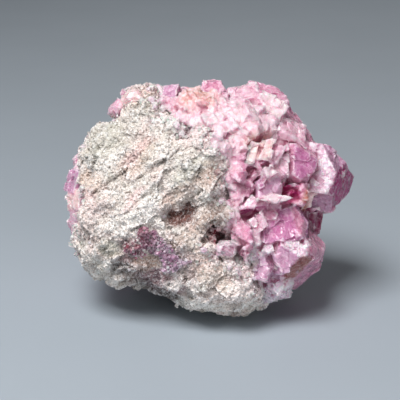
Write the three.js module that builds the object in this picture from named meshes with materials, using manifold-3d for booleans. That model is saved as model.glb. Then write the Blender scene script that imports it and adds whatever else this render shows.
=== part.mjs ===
// Cobaltoan calcite in matrix: a hand-sized mineral specimen.
//
// A lump of pale granular rock, the matrix, whose right side, top and back are crusted with
// intergrown pink calcite crystals, with a fine druse in a hollow low on its front.
//
// Millimetres, +Z up; the specimen rests on Z = 0 with the middle of its box above the origin.
// The rock is modelled in its show frame, the way it is set out to be looked at: X to the right,
// Y up and Z towards the viewer, about the rock's own middle. The last section stands it up.

import * as THREE from 'three';
import { ConvexGeometry } from 'three/addons/geometries/ConvexGeometry.js';
import { SimplexNoise } from 'three/addons/math/SimplexNoise.js';
import { mergeVertices } from 'three/addons/utils/BufferGeometryUtils.js';
import Module from 'manifold-3d';

const wasm = await Module();
wasm.setup();

const { degToRad, lerp, smoothstep } = THREE.MathUtils;

// ---------------------------------------------------------------------------------------------
// Driving dimensions
// ---------------------------------------------------------------------------------------------

const SHOW_TILT = degToRad(18); // the show side faces this far above the horizon
const MIDDLE_HEIGHT = 23.4; // the rock's middle above the surface it rests on

// The rock's outline from the show side, as [degrees, radius] about its middle, anticlockwise from
// the right.
const OUTLINE = [
  [0, 23.5], [45, 25], [90, 24], [120, 29], [140, 28.5], [195, 31], [215, 29], [240, 23.5],
  [290, 25], [330, 24.5], [360, 23.5],
];
const FRONT_DEPTH = 20.0;
const BACK_DEPTH = 22.0;
const SQUARENESS = 2.6; // 2 is an ellipsoid; more is boxier

const CRUST_THICKNESS = 6.5; // of the calcite on the matrix
const CRUST_EDGE = 2.2; // how far the crust takes to thin out at its edge
const CRUST_BURIED = 1.6; // how deep the crust's body lies where the matrix shows
const SEAM = 0.3; // the gap between pieces that grew on each other

const STONE_DETAIL = 9; // subdivisions of the icosahedron that the matrix starts from
const CRUST_DETAIL = 6; // and of the crust's body, which the crystals mostly hide

// ---------------------------------------------------------------------------------------------
// Small helpers
// ---------------------------------------------------------------------------------------------

// A repeatable source of random numbers from 0 to 1.
function seeded(seed) {
  let state = seed;
  return {
    random() {
      state = (state * 16807) % 2147483647;
      return state / 2147483647;
    },
  };
}

const simplex = new SimplexNoise(seeded(7));

// Noise from -1 to 1 in lumps of about the given size.
function noise(point, size, shift = 0) {
  return simplex.noise3d(point.x / size + shift, point.y / size, point.z / size);
}

// A closed geometry as a manifold-3d solid.
function solidOf(geometry) {
  const bare = geometry.clone();
  bare.deleteAttribute('normal');
  bare.deleteAttribute('uv');
  const merged = mergeVertices(bare);
  return new wasm.Manifold(new wasm.Mesh({
    numProp: 3,
    vertProperties: merged.attributes.position.array,
    triVerts: new Uint32Array(merged.index.array),
  }));
}

// A solid as a flat-shaded geometry.
function geometryOf(solid) {
  const mesh = solid.getMesh();
  const geometry = new THREE.BufferGeometry();
  geometry.setAttribute('position', new THREE.BufferAttribute(mesh.vertProperties, 3));
  geometry.setIndex(new THREE.BufferAttribute(mesh.triVerts, 1));
  const faceted = geometry.toNonIndexed();
  faceted.computeVertexNormals();
  return faceted;
}

// The largest body of a solid, without the crumbs that a cut leaves beside it.
function largestBody(solid) {
  return solid.decompose().reduce((best, body) => (body.volume() > best.volume() ? body : best));
}

function joined(solids) {
  return solids.reduce((all, one) => all.add(one));
}

// The value at a place in a list of [place, value], straight between entries, level beyond them.
function along(list, place) {
  const after = list.findIndex(([at]) => at >= place);
  if (after === 0) return list[0][1];
  if (after < 0) return list.at(-1)[1];
  const [from, low] = list[after - 1];
  const [to, high] = list[after];
  return lerp(low, high, (place - from) / (to - from));
}

// ---------------------------------------------------------------------------------------------
// The rock's overall form
// ---------------------------------------------------------------------------------------------

// The outline's radius at an angle about the middle.
function outlineAt(angle) {
  return along(OUTLINE, (THREE.MathUtils.radToDeg(angle) + 360) % 360);
}

// Ledges (rise above 0) and hollows (below 0) of the show side: at [x, y], running at an angle in
// degrees from the horizontal, with their half length, half width and height.
const LEDGES = [
  { name: 'diagonal ridge, lower end', at: [-14.0, -3.5], run: 60, long: 8, wide: 2.6, rise: 1.6 },
  { name: 'diagonal ridge, upper end', at: [-4.5, 7.0], run: 38, long: 8, wide: 2.4, rise: 1.7 },
  { name: 'trough under the ridge', at: [-5.5, -0.5], run: 42, long: 10, wide: 2.2, rise: -2.0 },
  { name: 'brown hollow', at: [-6.0, -4.2], run: 15, long: 4.5, wide: 2.4, rise: -2.2 },
  { name: 'second ridge', at: [-20.0, 0.5], run: 42, long: 8, wide: 1.8, rise: 0.9 },
  { name: 'upper left shelf', at: [-24.0, 8.5], run: 30, long: 5, wide: 3.4, rise: 1.4 },
  { name: 'upper left step', at: [-15.5, 11.0], run: 35, long: 8, wide: 1.6, rise: -1.0 },
  { name: 'top left knob', at: [-16.5, 20.5], run: 30, long: 4.5, wide: 4.0, rise: 1.2 },
  { name: 'ridge along the crust', at: [1.5, 9.5], run: 60, long: 5, wide: 2.2, rise: 1.3 },
  { name: 'pocket', at: [1.6, -8.3], run: 20, long: 2.6, wide: 2.0, rise: -4.6 },
  { name: 'druse hollow', at: [-9.5, -11.5], run: -30, long: 5, wide: 3.4, rise: -2.2 },
  { name: 'red hollow', at: [-17.0, -12.0], run: 20, long: 3.2, wide: 2.4, rise: -1.8 },
  { name: 'tan knob', at: [-13.6, -13.8], run: 0, long: 2.4, wide: 1.8, rise: 1.4 },
  { name: 'pebble', at: [-8.4, -18.4], run: 0, long: 2.0, wide: 1.8, rise: 1.8 },
  { name: 'lower lip', at: [3.5, -19.5], run: 8, long: 9.0, wide: 3.6, rise: 2.6 },
  { name: 'lower left bulge', at: [-23.5, -12.0], run: -35, long: 6, wide: 4.0, rise: 1.4 },
  { name: 'notch beside the lower lip', at: [-10.5, -22.5], run: 60, long: 4, wide: 2.4, rise: -2.6 },
  { name: 'between the right-hand crystals', at: [13.5, -4.5], run: 100, long: 10, wide: 6.0, rise: -2.4 },
  { name: 'cleft in the crust', at: [16.5, 0.4], run: 35, long: 5, wide: 1.9, rise: -4.0 },
];

function ledgeRise(point) {
  const shown = smoothstep(point.z, -4, 4);
  return shown * LEDGES.reduce((total, ledge) => {
    const turn = degToRad(ledge.run);
    const dx = point.x - ledge.at[0];
    const dy = point.y - ledge.at[1];
    const lengthwise = (dx * Math.cos(turn) + dy * Math.sin(turn)) / ledge.long;
    const across = (dy * Math.cos(turn) - dx * Math.sin(turn)) / ledge.wide;
    return total + ledge.rise * Math.exp(-lengthwise * lengthwise - across * across);
  }, 0);
}

// How far the rock's surface lies from its middle in a direction, before lumps.
function rockRadius(direction) {
  const angle = Math.atan2(direction.y, direction.x);
  const side = Math.hypot(direction.x, direction.y) / outlineAt(angle);
  const depth = Math.abs(direction.z) / (direction.z > 0 ? FRONT_DEPTH : BACK_DEPTH);
  const radius = (side ** SQUARENESS + depth ** SQUARENESS) ** (-1 / SQUARENESS);
  return radius + ledgeRise(direction.clone().multiplyScalar(radius));
}

// ---------------------------------------------------------------------------------------------
// Where the calcite lies
// ---------------------------------------------------------------------------------------------

// The crust's edge down the show side, as [y, x] from the bottom: calcite lies to its right.
const FRONT_CONTACT = [
  [-24, 19], [-20, 13.5], [-15.5, 11], [-12.5, 6], [-8, 4], [-2, 6], [4, 4], [10, 4.5],
  [14, 0.5], [17, -5], [20, -10], [26, -11.5],
];
// How far towards the viewer the crust reaches around the back, as [angle, z] anticlockwise in
// degrees from the top.
const BACK_CONTACT = [
  [0, 4], [20, 5], [34, 5], [46, 4], [54, -4], [64, -3], [74, 5], [88, 9], [99, 8], [106, -2],
  [125, -9], [150, -13], [180, -15], [220, -12], [360, 4],
];

// From 0 where the matrix shows to 1 where the crust covers it.
function crustCover(point) {
  const right = point.x - along(FRONT_CONTACT, point.y);
  const turned = (THREE.MathUtils.radToDeg(Math.atan2(-point.x, point.y)) + 360) % 360;
  const behind = along(BACK_CONTACT, turned) - point.z;
  const wander = 1.2 * noise(point, 5, 40);
  return smoothstep(Math.max(right, behind) + wander, -CRUST_EDGE, CRUST_EDGE);
}

// ---------------------------------------------------------------------------------------------
// Stones: bodies whose surface is a known distance from the middle in every direction
// ---------------------------------------------------------------------------------------------

function stone(radiusIn, detail) {
  const geometry = new THREE.IcosahedronGeometry(1, detail);
  const positions = geometry.getAttribute('position');
  const direction = new THREE.Vector3();
  for (let i = 0; i < positions.count; i++) {
    direction.fromBufferAttribute(positions, i).normalize();
    direction.multiplyScalar(radiusIn(direction));
    positions.setXYZ(i, direction.x, direction.y, direction.z);
  }
  return solidOf(geometry);
}

// The matrix's surface, or that surface grown by a clearance.
function matrixRadius(direction, clearance = 0) {
  const radius = rockRadius(direction);
  const point = direction.clone().multiplyScalar(radius);
  const lumps = 0.7 * noise(point, 9) + 0.6 * noise(point, 4.2, 20);
  return lerp(radius + lumps, radius - CRUST_THICKNESS, crustCover(point)) + clearance;
}

// The body of the crust that the crystals stand on.
function crustRadius(direction) {
  const radius = rockRadius(direction);
  const point = direction.clone().multiplyScalar(radius);
  const grown = radius - 0.8 + 0.6 * noise(point, 7, 60);
  return lerp(radius - CRUST_BURIED, grown, crustCover(point));
}

// ---------------------------------------------------------------------------------------------
// Calcite crystals
// ---------------------------------------------------------------------------------------------

// The corners of a double point of unit radius and half length 1, its girdle in a zigzag of the
// given height. A height of 1/3 is calcite's rhombohedron, less is its dog tooth.
function doublePoint(zigzag) {
  const corners = [new THREE.Vector3(0, 0, 1), new THREE.Vector3(0, 0, -1)];
  for (let i = 0; i < 6; i++) {
    const angle = degToRad(60 * i);
    corners.push(new THREE.Vector3(Math.cos(angle), Math.sin(angle), i % 2 ? zigzag : -zigzag));
  }
  return corners;
}

const RHOMB = 1 / 3;
const DOG_TOOTH = 0.16;

// A crystal at a place, its long axis laid along `axis` and turned about it in degrees.
function crystal({ habit = RHOMB, at, axis, turn = 0, width, length }) {
  const stand = new THREE.Quaternion().setFromUnitVectors(
    new THREE.Vector3(0, 0, 1),
    axis.clone().normalize(),
  );
  const spin = new THREE.Quaternion().setFromAxisAngle(new THREE.Vector3(0, 0, 1), degToRad(turn));
  const place = new THREE.Matrix4().compose(
    at,
    stand.multiply(spin),
    new THREE.Vector3(width / 2, width / 2, length / 2),
  );
  return solidOf(new ConvexGeometry(doublePoint(habit).map((corner) => corner.applyMatrix4(place))));
}

const CLEAVAGE_SLANT = degToRad(12); // how far calcite's blocks lean from square
const BARE_SHARE = 0.5; // no small crystal stands this near a block's middle, as a share of its front

// The large crystals that shape the crust. Each is a block with its middle, its width, height and
// depth, the degrees by which its front face is turned to the right and up from facing the viewer,
// its turn about that face, and the faces cut across its edges: each cut's own degrees to the right
// and up, and how far out from the middle it lies.
const LARGE_CRYSTALS = [
  {
    name: 'white and magenta shoulder',
    at: [24.4, 4, -1.4], size: [9, 14, 17], facing: [-18, 5], turn: -3,
    cuts: [[90, 45, 6], [90, -50, 6.5]],
  },
  {
    name: 'violet face',
    at: [16.2, 6, 6.8], size: [7, 11, 12], facing: [38, 5], turn: 5,
    cuts: [[60, 55, 6], [60, -45, 6.5]],
  },
  { name: 'lilac face above the cleft', at: [11, 1, 14], size: [6, 4, 7], facing: [22, 15], turn: 15 },
  { name: 'white wing', at: [11.7, 4.8, 14], size: [4.6, 2.2, 6], facing: [25, 20], turn: 25 },
  { name: 'peach prism', at: [10.3, 8.7, 14], size: [2.4, 5.2, 7], facing: [15, 10], turn: -5 },
  { name: 'blade across the cleft', at: [12.6, -0.5, 15.5], size: [7.6, 1.7, 4], facing: [18, 10], turn: 12 },
  {
    name: 'lower point',
    at: [14.6, -8, 12.5], size: [10, 8, 10], facing: [8, 30], turn: 10,
    cuts: [[57, 5, 5.3], [45, 45, 5.5]],
  },
  { name: 'maroon face', at: [17.7, -5.2, 2.7], size: [8, 4.4, 10], facing: [55, 0], turn: -5 },
  {
    name: 'frosted block',
    at: [15, -11.5, 9.7], size: [16, 5.5, 14], facing: [25, 5], turn: -6,
    cuts: [[70, -5, 7.1]],
  },
  { name: 'salmon block', at: [16.7, -12.2, 7], size: [9, 8, 10], facing: [42, -38], turn: 20 },
  { name: 'lilac block', at: [15, -12.8, 12.4], size: [3.2, 4.8, 8], facing: [-5, -15] },
  { name: 'violet pink block', at: [12, -14, 12.6], size: [3.2, 7, 8], facing: [-12, -22], turn: -12 },
  { name: 'pale crystal, upper part', at: [8.6, -5.6, 15], size: [3.6, 3.2, 7], facing: [10, 5], turn: 35 },
  { name: 'pale crystal, lower part', at: [7.7, -8.5, 15.3], size: [3, 3.2, 7], facing: [5, 0], turn: 20 },
  {
    name: 'round crystal in the pocket',
    at: [2.9, -10.6, 15.4], size: [4.4, 3.4, 8], facing: [0, 10],
    cuts: [[-50, 0, 3.4], [50, 0, 3.4]],
  },
  {
    name: 'top right block',
    at: [11.2, 18.6, -1.6], size: [10, 9, 9.5], facing: [8, 58], turn: -32,
    cuts: [[90, 25, 6]],
  },
  { name: 'slope under the top right block', at: [15, 11.4, 1.8], size: [9, 9.5, 12], facing: [68, 37] },
  { name: 'top peak', at: [0.3, 20.4, 1], size: [5, 5, 8], facing: [0, 30], turn: 45 },
  { name: 'violet crystal at the top', at: [-8, 21, 0.5], size: [3.6, 4.4, 7], facing: [-15, 35], turn: 10 },
  { name: 'knob at the top left', at: [-15.8, 21, 2], size: [4.6, 3.6, 8], facing: [-10, 25], turn: 8 },
  {
    name: 'lower knob at the top left',
    at: [-18.6, 18.8, 4.6], size: [2.8, 3.2, 6], facing: [-15, 15], turn: -20,
  },
];

// The way that a face looks when it is turned to the right and up, in degrees.
function looking(right, up) {
  return new THREE.Vector3(0, 0, 1)
    .applyEuler(new THREE.Euler(degToRad(-up), degToRad(right), 0, 'YXZ'));
}

function largeCrystal({ at, size, facing: [right, up], turn = 0, cuts = [] }) {
  const lean = Math.tan(CLEAVAGE_SLANT);
  const slant = new THREE.Matrix4().set(1, lean, 0, 0, 0, 1, 0, 0, 0, 0, 1, 0, 0, 0, 0, 1);
  const stand = new THREE.Euler(degToRad(-up), degToRad(right), degToRad(turn), 'YXZ');
  const geometry = new THREE.BoxGeometry(...size);
  geometry.applyMatrix4(slant);
  geometry.applyMatrix4(new THREE.Matrix4().makeRotationFromEuler(stand));
  geometry.translate(...at);
  const middle = new THREE.Vector3(...at);
  return cuts.reduce((solid, [toRight, upwards, out]) => {
    const face = looking(toRight, upwards);
    const kept = face.clone().negate();
    return solid.trimByPlane(kept.toArray(), -(face.dot(middle) + out));
  }, solidOf(geometry));
}

// Whether a direction from the rock's middle runs into a face that a large crystal keeps bare.
function meetsBareFace(direction) {
  return LARGE_CRYSTALS.some(({ at, size: [width, height] }) => {
    const middle = new THREE.Vector3(...at);
    const aside = middle.clone().projectOnPlane(direction).length();
    return middle.dot(direction) > 0 && aside < BARE_SHARE * Math.max(width, height);
  });
}

// Smaller crystals spread over the crust: how far apart they stand, their widths, how far their
// middles are sunk in it as a share of that, and the part they stand on, by its depth in the rock.
const SMALL_CRYSTALS = [
  { name: 'front', apart: 4.6, width: [3.2, 5.2], sunk: 0.42, from: -6, to: 30, seed: 11 },
  { name: 'back', apart: 7.4, width: [7.4, 11.0], sunk: 0.32, from: -30, to: -6, seed: 23 },
];

// Each crystal stands roughly square to the crust, its places spread evenly by the golden angle.
function smallCrystals({ apart, width: [narrow, wide], sunk, from, to, seed }) {
  const chance = seeded(seed);
  const golden = Math.PI * (3 - Math.sqrt(5));
  const count = Math.round(4 * Math.PI * (25 / apart) ** 2);
  const made = [];
  for (let i = 0; i < count; i++) {
    const level = 1 - (2 * (i + 0.5)) / count;
    const reach = Math.sqrt(1 - level * level);
    const direction = new THREE.Vector3(reach * Math.cos(i * golden), reach * Math.sin(i * golden), level);
    const width = lerp(narrow, wide, chance.random() ** 1.5);
    const habit = chance.random() < 0.7 ? RHOMB : DOG_TOOTH;
    const turn = 120 * chance.random();
    const lean = new THREE.Vector3(chance.random(), chance.random(), chance.random()).subScalar(0.5);
    const surface = direction.clone().multiplyScalar(rockRadius(direction));
    if (surface.z < from || surface.z > to) continue;
    if (crustCover(surface) < 0.65 || meetsBareFace(direction)) continue;
    made.push(crystal({
      habit,
      at: surface.addScaledVector(direction, -sunk * width),
      axis: direction.add(lean.multiplyScalar(1.6)),
      turn,
      width,
      length: 1.2 * width,
    }));
  }
  return made;
}

// ---------------------------------------------------------------------------------------------
// The pieces
// ---------------------------------------------------------------------------------------------

// What lies under the resting face, as a block in the show frame.
function ground() {
  const side = 120;
  const block = new THREE.BoxGeometry(side, side, side);
  block.translate(0, -MIDDLE_HEIGHT - side / 2, 0);
  block.rotateX(SHOW_TILT);
  return solidOf(block);
}

const floor = ground();
const matrix = stone((direction) => matrixRadius(direction), STONE_DETAIL).subtract(floor);
const matrixSeat = stone((direction) => matrixRadius(direction, SEAM), STONE_DETAIL);

const crystals = joined([
  ...LARGE_CRYSTALS.map(largeCrystal),
  ...SMALL_CRYSTALS.flatMap(smallCrystals),
]);
const crustBody = stone(crustRadius, CRUST_DETAIL).add(crystals);
const crust = largestBody(crustBody.subtract(matrixSeat).subtract(floor));

// The druse: small crystals side by side along the hollow, from its red end to its violet one.
const DRUSE_PATH = [
  [-18.6, -11.0], [-17.6, -12.6], [-16.4, -11.2], [-15.0, -9.8], [-13.4, -9.0], [-13.6, -7.2],
  [-11.8, -8.2], [-12.0, -10.0], [-10.2, -9.2], [-10.2, -11.0], [-8.6, -10.4], [-8.6, -12.2],
  [-7.0, -11.6], [-7.0, -13.4], [-8.8, -14.0], [-5.6, -12.8], [-10.4, -12.8],
];
const DRUSE_SIZE = 3.4;

// The direction from the rock's middle in which the show side passes over [x, y].
function directionAt([x, y]) {
  const direction = new THREE.Vector3(x, y, FRONT_DEPTH);
  for (let step = 0; step < 6; step++) {
    const radius = rockRadius(direction.clone().normalize());
    direction.z = Math.sqrt(radius * radius - x * x - y * y);
  }
  return direction.normalize();
}

function druse() {
  const chance = seeded(5);
  return DRUSE_PATH.map((place) => {
    const direction = directionAt(place);
    const lean = new THREE.Vector3(chance.random(), chance.random(), chance.random()).subScalar(0.5);
    return crystal({
      at: direction.clone().multiplyScalar(matrixRadius(direction)),
      axis: direction.add(lean),
      turn: 120 * chance.random(),
      width: DRUSE_SIZE,
      length: DRUSE_SIZE,
    });
  });
}

const hollowDruse = largestBody(joined(druse()).subtract(matrixSeat));

const PIECES = [
  { name: 'matrix', solid: matrix, colour: 0xd8d2c8, roughness: 0.9 },
  { name: 'calcite_crust', solid: crust, colour: 0xd98ab5, roughness: 0.35 },
  { name: 'hollow_druse', solid: hollowDruse, colour: 0xa8689a, roughness: 0.4 },
];

const rock = new THREE.Group();
for (const piece of PIECES) {
  const material = new THREE.MeshStandardMaterial({
    color: piece.colour,
    roughness: piece.roughness,
    metalness: 0,
    flatShading: true,
  });
  const mesh = new THREE.Mesh(geometryOf(piece.solid), material);
  mesh.name = piece.name;
  rock.add(mesh);
}

// Stand the rock up from its show frame and put the middle of its box above the origin.
rock.rotation.x = Math.PI / 2 - SHOW_TILT;
rock.position.z = MIDDLE_HEIGHT;
const specimen = new THREE.Group();
specimen.add(rock);
specimen.updateMatrixWorld(true);
const middle = new THREE.Box3().setFromObject(specimen, true).getCenter(new THREE.Vector3());
rock.position.x -= middle.x;
rock.position.y -= middle.y;

export default specimen;
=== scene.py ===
"""Cobaltoan calcite in matrix: the finished look of a small-cabinet mineral specimen.

Pale sugary rock, the matrix, whose right side, top and back are crusted with intergrown pink
calcite, with a fine violet-red druse in a hollow low on its front.

Metres, +Z up; the specimen rests on Z = 0. Places on the rock are given in its show frame, in
millimetres about the rock's middle: x to the right, y up and z out of the show side, which leans
back by SHOW_TILT.
"""

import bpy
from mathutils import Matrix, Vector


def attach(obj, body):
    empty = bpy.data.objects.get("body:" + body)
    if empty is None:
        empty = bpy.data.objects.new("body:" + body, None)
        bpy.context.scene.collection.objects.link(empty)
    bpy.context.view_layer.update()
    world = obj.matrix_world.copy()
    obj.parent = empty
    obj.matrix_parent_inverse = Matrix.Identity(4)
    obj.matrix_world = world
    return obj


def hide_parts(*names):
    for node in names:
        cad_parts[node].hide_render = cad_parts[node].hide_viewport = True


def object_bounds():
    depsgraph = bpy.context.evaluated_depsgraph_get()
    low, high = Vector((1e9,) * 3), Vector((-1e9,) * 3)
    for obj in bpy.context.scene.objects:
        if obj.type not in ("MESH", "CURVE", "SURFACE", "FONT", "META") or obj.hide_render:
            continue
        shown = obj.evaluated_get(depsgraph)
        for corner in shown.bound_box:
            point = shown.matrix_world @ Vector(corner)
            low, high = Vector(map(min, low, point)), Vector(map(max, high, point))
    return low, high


bl_info = {
    "name": "Cobaltoan Calcite Specimen",
    "version": (1, 0, 0),
    "blender": (4, 5, 0),
    "location": "View3D > Sidebar > Specimen",
    "description": "Grows the rock, calcite and druse of a mineral specimen over its packed solids",
    "category": "Add Mesh",
}

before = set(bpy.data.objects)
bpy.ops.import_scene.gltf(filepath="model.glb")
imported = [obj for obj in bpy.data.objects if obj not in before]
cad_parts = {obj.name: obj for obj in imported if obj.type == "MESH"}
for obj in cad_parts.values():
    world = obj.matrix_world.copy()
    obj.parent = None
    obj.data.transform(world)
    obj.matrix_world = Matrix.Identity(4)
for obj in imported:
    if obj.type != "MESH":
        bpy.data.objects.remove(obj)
CAD_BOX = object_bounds()

import math
import random

import bpy
import numpy as np
from bpy.props import FloatProperty, FloatVectorProperty, PointerProperty
from mathutils import Matrix, Vector, noise
from mathutils.bvhtree import BVHTree

MM = 0.001
SHOW_TILT = math.radians(18)  # the show side faces this far above the horizon
MIDDLE = Vector((-0.544, -1.320, 23.4)) * MM  # the rock's middle
SHOW_RIGHT = Vector((1, 0, 0))
SHOW_UP = Vector((0, math.sin(SHOW_TILT), math.cos(SHOW_TILT)))
SHOW_OUT = Vector((0, -math.cos(SHOW_TILT), math.sin(SHOW_TILT)))
SHOW_AXES = Matrix([SHOW_RIGHT, SHOW_UP, SHOW_OUT]).transposed()
SHOW_FRAME = Matrix.Translation(MIDDLE) @ SHOW_AXES.to_4x4() @ Matrix.Scale(MM, 4)
BEDDING = math.radians(42)  # the rock's streaks run up to the right
COVER = 12 * MM  # what lies this close under the solid crust isn't seen
MARGIN = 0.7  # millimetres that small shapes keep from the sides of the part's box


# ---------------------------------------------------------------------------------------------
# Helpers
# ---------------------------------------------------------------------------------------------


def linear(code):
    """A colour written as an sRGB hex code, as linear red, green and blue."""
    parts = [int(code[i : i + 2], 16) / 255 for i in (0, 2, 4)]
    return [p / 12.92 if p <= 0.04045 else ((p + 0.055) / 1.055) ** 2.4 for p in parts]


def plug(tree, made, links):
    """Gives a node's inputs values or other nodes' outputs."""
    for socket, value in links.items():
        if isinstance(value, bpy.types.NodeSocket):
            tree.links.new(value, made.inputs[socket])
        else:
            made.inputs[socket].default_value = value
    return made


def node(tree, kind, links=None, **settings):
    """Adds a node to a tree with its settings and links."""
    made = tree.nodes.new(kind)
    for name, value in settings.items():
        setattr(made, name, value)
    return plug(tree, made, links or {})


def pick(obj):
    """Selects one object alone and makes it the active one."""
    bpy.ops.object.select_all(action="DESELECT")
    obj.select_set(True)
    bpy.context.view_layer.objects.active = obj


def finish_with(obj, kind, **settings):
    """Adds a modifier to an object and applies it."""
    pick(obj)
    modifier = obj.modifiers.new(kind.title(), kind)
    for name, value in settings.items():
        setattr(modifier, name, value)
    bpy.ops.object.modifier_apply(modifier=modifier.name)


def remesh(obj, grid):
    """Makes a piece one closed skin of even faces about `grid` millimetres across."""
    finish_with(obj, "REMESH", mode="VOXEL", voxel_size=grid * MM)


def merged_copy(node_name, name):
    """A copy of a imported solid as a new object, its loose triangles joined."""
    copy = bpy.data.objects.new(name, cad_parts[node_name].data.copy())
    bpy.context.scene.collection.objects.link(copy)
    pick(copy)
    bpy.ops.object.mode_set(mode="EDIT")
    bpy.ops.mesh.select_all(action="SELECT")
    bpy.ops.mesh.remove_doubles(threshold=1e-6)
    bpy.ops.mesh.customdata_custom_splitnormals_clear()
    bpy.ops.object.mode_set(mode="OBJECT")
    copy.data.materials.clear()
    return copy


def read(elements, field, width=3):
    """One property of every vertex, face or attribute value, as an array."""
    flat = np.empty(len(elements) * width, np.float32)
    elements.foreach_get(field, flat)
    return flat.reshape(-1, width).astype(float)


def places(obj):
    """Where a piece's vertices are."""
    return read(obj.data.vertices, "co")


def move_to(obj, points):
    """Puts a piece's vertices in new places."""
    obj.data.vertices.foreach_set("co", points.astype(np.float32).ravel())
    obj.data.update()


def shown(points):
    """World places as show-frame places in millimetres."""
    return (points - np.array(MIDDLE)) @ np.array(SHOW_AXES) / MM


def stand_on_ground(obj):
    """Nothing of a piece reaches below what it rests on."""
    points = places(obj)
    points[:, 2] = np.maximum(points[:, 2], 0.0)
    move_to(obj, points)


def store(obj, name, values, kind="FLOAT", domain="POINT"):
    """Keeps a value or colour at each vertex or face, for the materials and the scattering."""
    layer = obj.data.attributes.get(name) or obj.data.attributes.new(name, kind, domain)
    field = "color" if kind == "FLOAT_COLOR" else "value"
    layer.data.foreach_set(field, np.ascontiguousarray(values, np.float32).ravel())


def smooth_step(low, high, values):
    """0 at the low value and 1 at the high one, with a soft rise between."""
    t = np.clip((values - low) / (high - low), 0, 1)
    return t * t * (3 - 2 * t)


def neighbours_mean(obj, values, rounds):
    """Values at the vertices, each replaced by its neighbours' mean, some rounds over."""
    edges = np.empty(len(obj.data.edges) * 2, np.int32)
    obj.data.edges.foreach_get("vertices", edges)
    a, b = edges[0::2], edges[1::2]
    count = np.maximum(np.bincount(edges, minlength=len(values)), 1)
    for _ in range(rounds):
        values = np.stack([
            (np.bincount(a, part[b], len(part)) + np.bincount(b, part[a], len(part))) / count
            for part in values.T
        ], 1)
    return values


def store_relief(obj, rounds):
    """How far each vertex stands above (+) or below (-) the surface around it, in millimetres."""
    points = places(obj)
    off = points - neighbours_mean(obj, points, rounds)
    store(obj, "relief", (off * read(obj.data.vertices, "normal")).sum(1) / MM)


def noise_at(points, size, shift=0.0):
    """Noise from -1 to 1 at show-frame places, in lumps of about the given size in millimetres."""
    return np.array([noise.noise((p[0] / size + shift, p[1] / size, p[2] / size)) for p in points])


def wandering(points, size, shifts):
    """An offset at each show-frame place that wanders, in lumps of about the given size, between
    -1 and 1 along each axis."""
    return np.stack([noise_at(points, size, shift) for shift in shifts], 1)


def weigh(obj, name, values):
    """A vertex group holding a weight from 0 to 1 at each vertex."""
    group = obj.vertex_groups.new(name=name)
    steps = np.round(np.clip(values, 0, 1) * 10).astype(int)
    for step in range(1, 11):
        group.add([int(i) for i in np.nonzero(steps == step)[0]], step / 10, "REPLACE")
    return group.name


def ray_tree(obj):
    """A piece's surface, as something to measure to."""
    verts = [v.co for v in obj.data.vertices]
    return BVHTree.FromPolygons(verts, [tuple(p.vertices) for p in obj.data.polygons])


def covered(points, above, reach):
    """1 where the given surface lies within reach straight outwards of a place, else 0."""
    found = np.zeros(len(points))
    for i, p in enumerate(points):
        at = Vector(p)
        out = (at - MIDDLE).normalized()
        if above.ray_cast(at + out * 0.8 * MM, out, reach)[0] is not None:
            found[i] = 1.0
    return found


def nearness(points, surface, reach):
    """1 on the given surface, falling to 0 at `reach` millimetres from it."""
    found = np.zeros(len(points))
    for i, p in enumerate(points):
        away = surface.find_nearest(Vector(p), reach * MM)[3]
        if away is not None:
            found[i] = 1 - away / (reach * MM)
    return found


def sink_under(points, surface, reach, below):
    """Places, those that stand up to `reach` over the given surface moved to `below` under it."""
    sunk = points.copy()
    for i, p in enumerate(points):
        at = Vector(p)
        out = (at - MIDDLE).normalized()
        hit, facing = surface.ray_cast(at + out * 0.2 * MM, -out, reach * MM)[:2]
        if hit is not None and facing.dot(out) > 0.1:
            sunk[i] = hit - out * below * MM
    return sunk


def well_inside(points, margin):
    """1 where a place lies at least `margin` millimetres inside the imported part's box, else 0."""
    low, high = (np.array(corner) for corner in CAD_BOX)
    gap = np.minimum(points - low, high - points)[:, [0, 1]].min(1)
    return (np.minimum(gap, high[2] - points[:, 2]) > margin * MM).astype(float)


def thin_hidden(obj, hidden, share):
    """Takes triangles away, down to the given share of them, where a piece isn't seen."""
    group = weigh(obj, "hidden", hidden)
    finish_with(obj, "DECIMATE", ratio=share, vertex_group=group, use_collapse_triangulate=True)


# ---------------------------------------------------------------------------------------------
# Sizes and colours
# ---------------------------------------------------------------------------------------------


def colour_of(name, description, code):
    """A colour that can be changed, its default written as an sRGB hex code."""
    return FloatVectorProperty(
        name=name, description=description, subtype="COLOR", size=3, min=0, max=1,
        default=linear(code),
    )


def size_of(name, description, millimetres):
    """A length that can be changed."""
    return FloatProperty(
        name=name, description=description, subtype="DISTANCE", unit="LENGTH", min=0.0,
        default=millimetres * MM, precision=5,
    )


class RockSettings(bpy.types.PropertyGroup):
    grain: size_of("Grain", "Width of the rock's sugary grains", 0.5)
    cream: colour_of("Cream", "The rock away from its stains", "ddd5ce")
    # Painted shade: a darker colour laid over the rock's left side.
    left_side_shade: colour_of("Dusty", "Painted shade on the rock's left side", "b9aea8")
    white: colour_of("White", "Freshly broken sugar", "f8f4ee")
    grey_green: colour_of("Grey green", "Weathered rock", "c3c2b6")
    beige: colour_of("Beige", "Rock with a little iron in it", "d6bfb0")
    blush: colour_of("Blush", "Rock stained by the calcite", "ecd2cf")
    tan: colour_of("Tan", "Clayey knobs", "b69a8c")
    brown: colour_of("Brown", "Iron stain in the hollows", "71423a")
    wine: colour_of("Wine", "The pocket's reddened walls", "8a1a34")
    mauve: colour_of("Mauve", "Rock stained around the druse", "8c646e")
    # Partly painted shade: darkens the underside and the crevice, as well as some dark spots.
    dark_shade_and_dirt: colour_of("Dirt", "Dark rock, and painted shade on the underside and in crevices", "514744")


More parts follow.
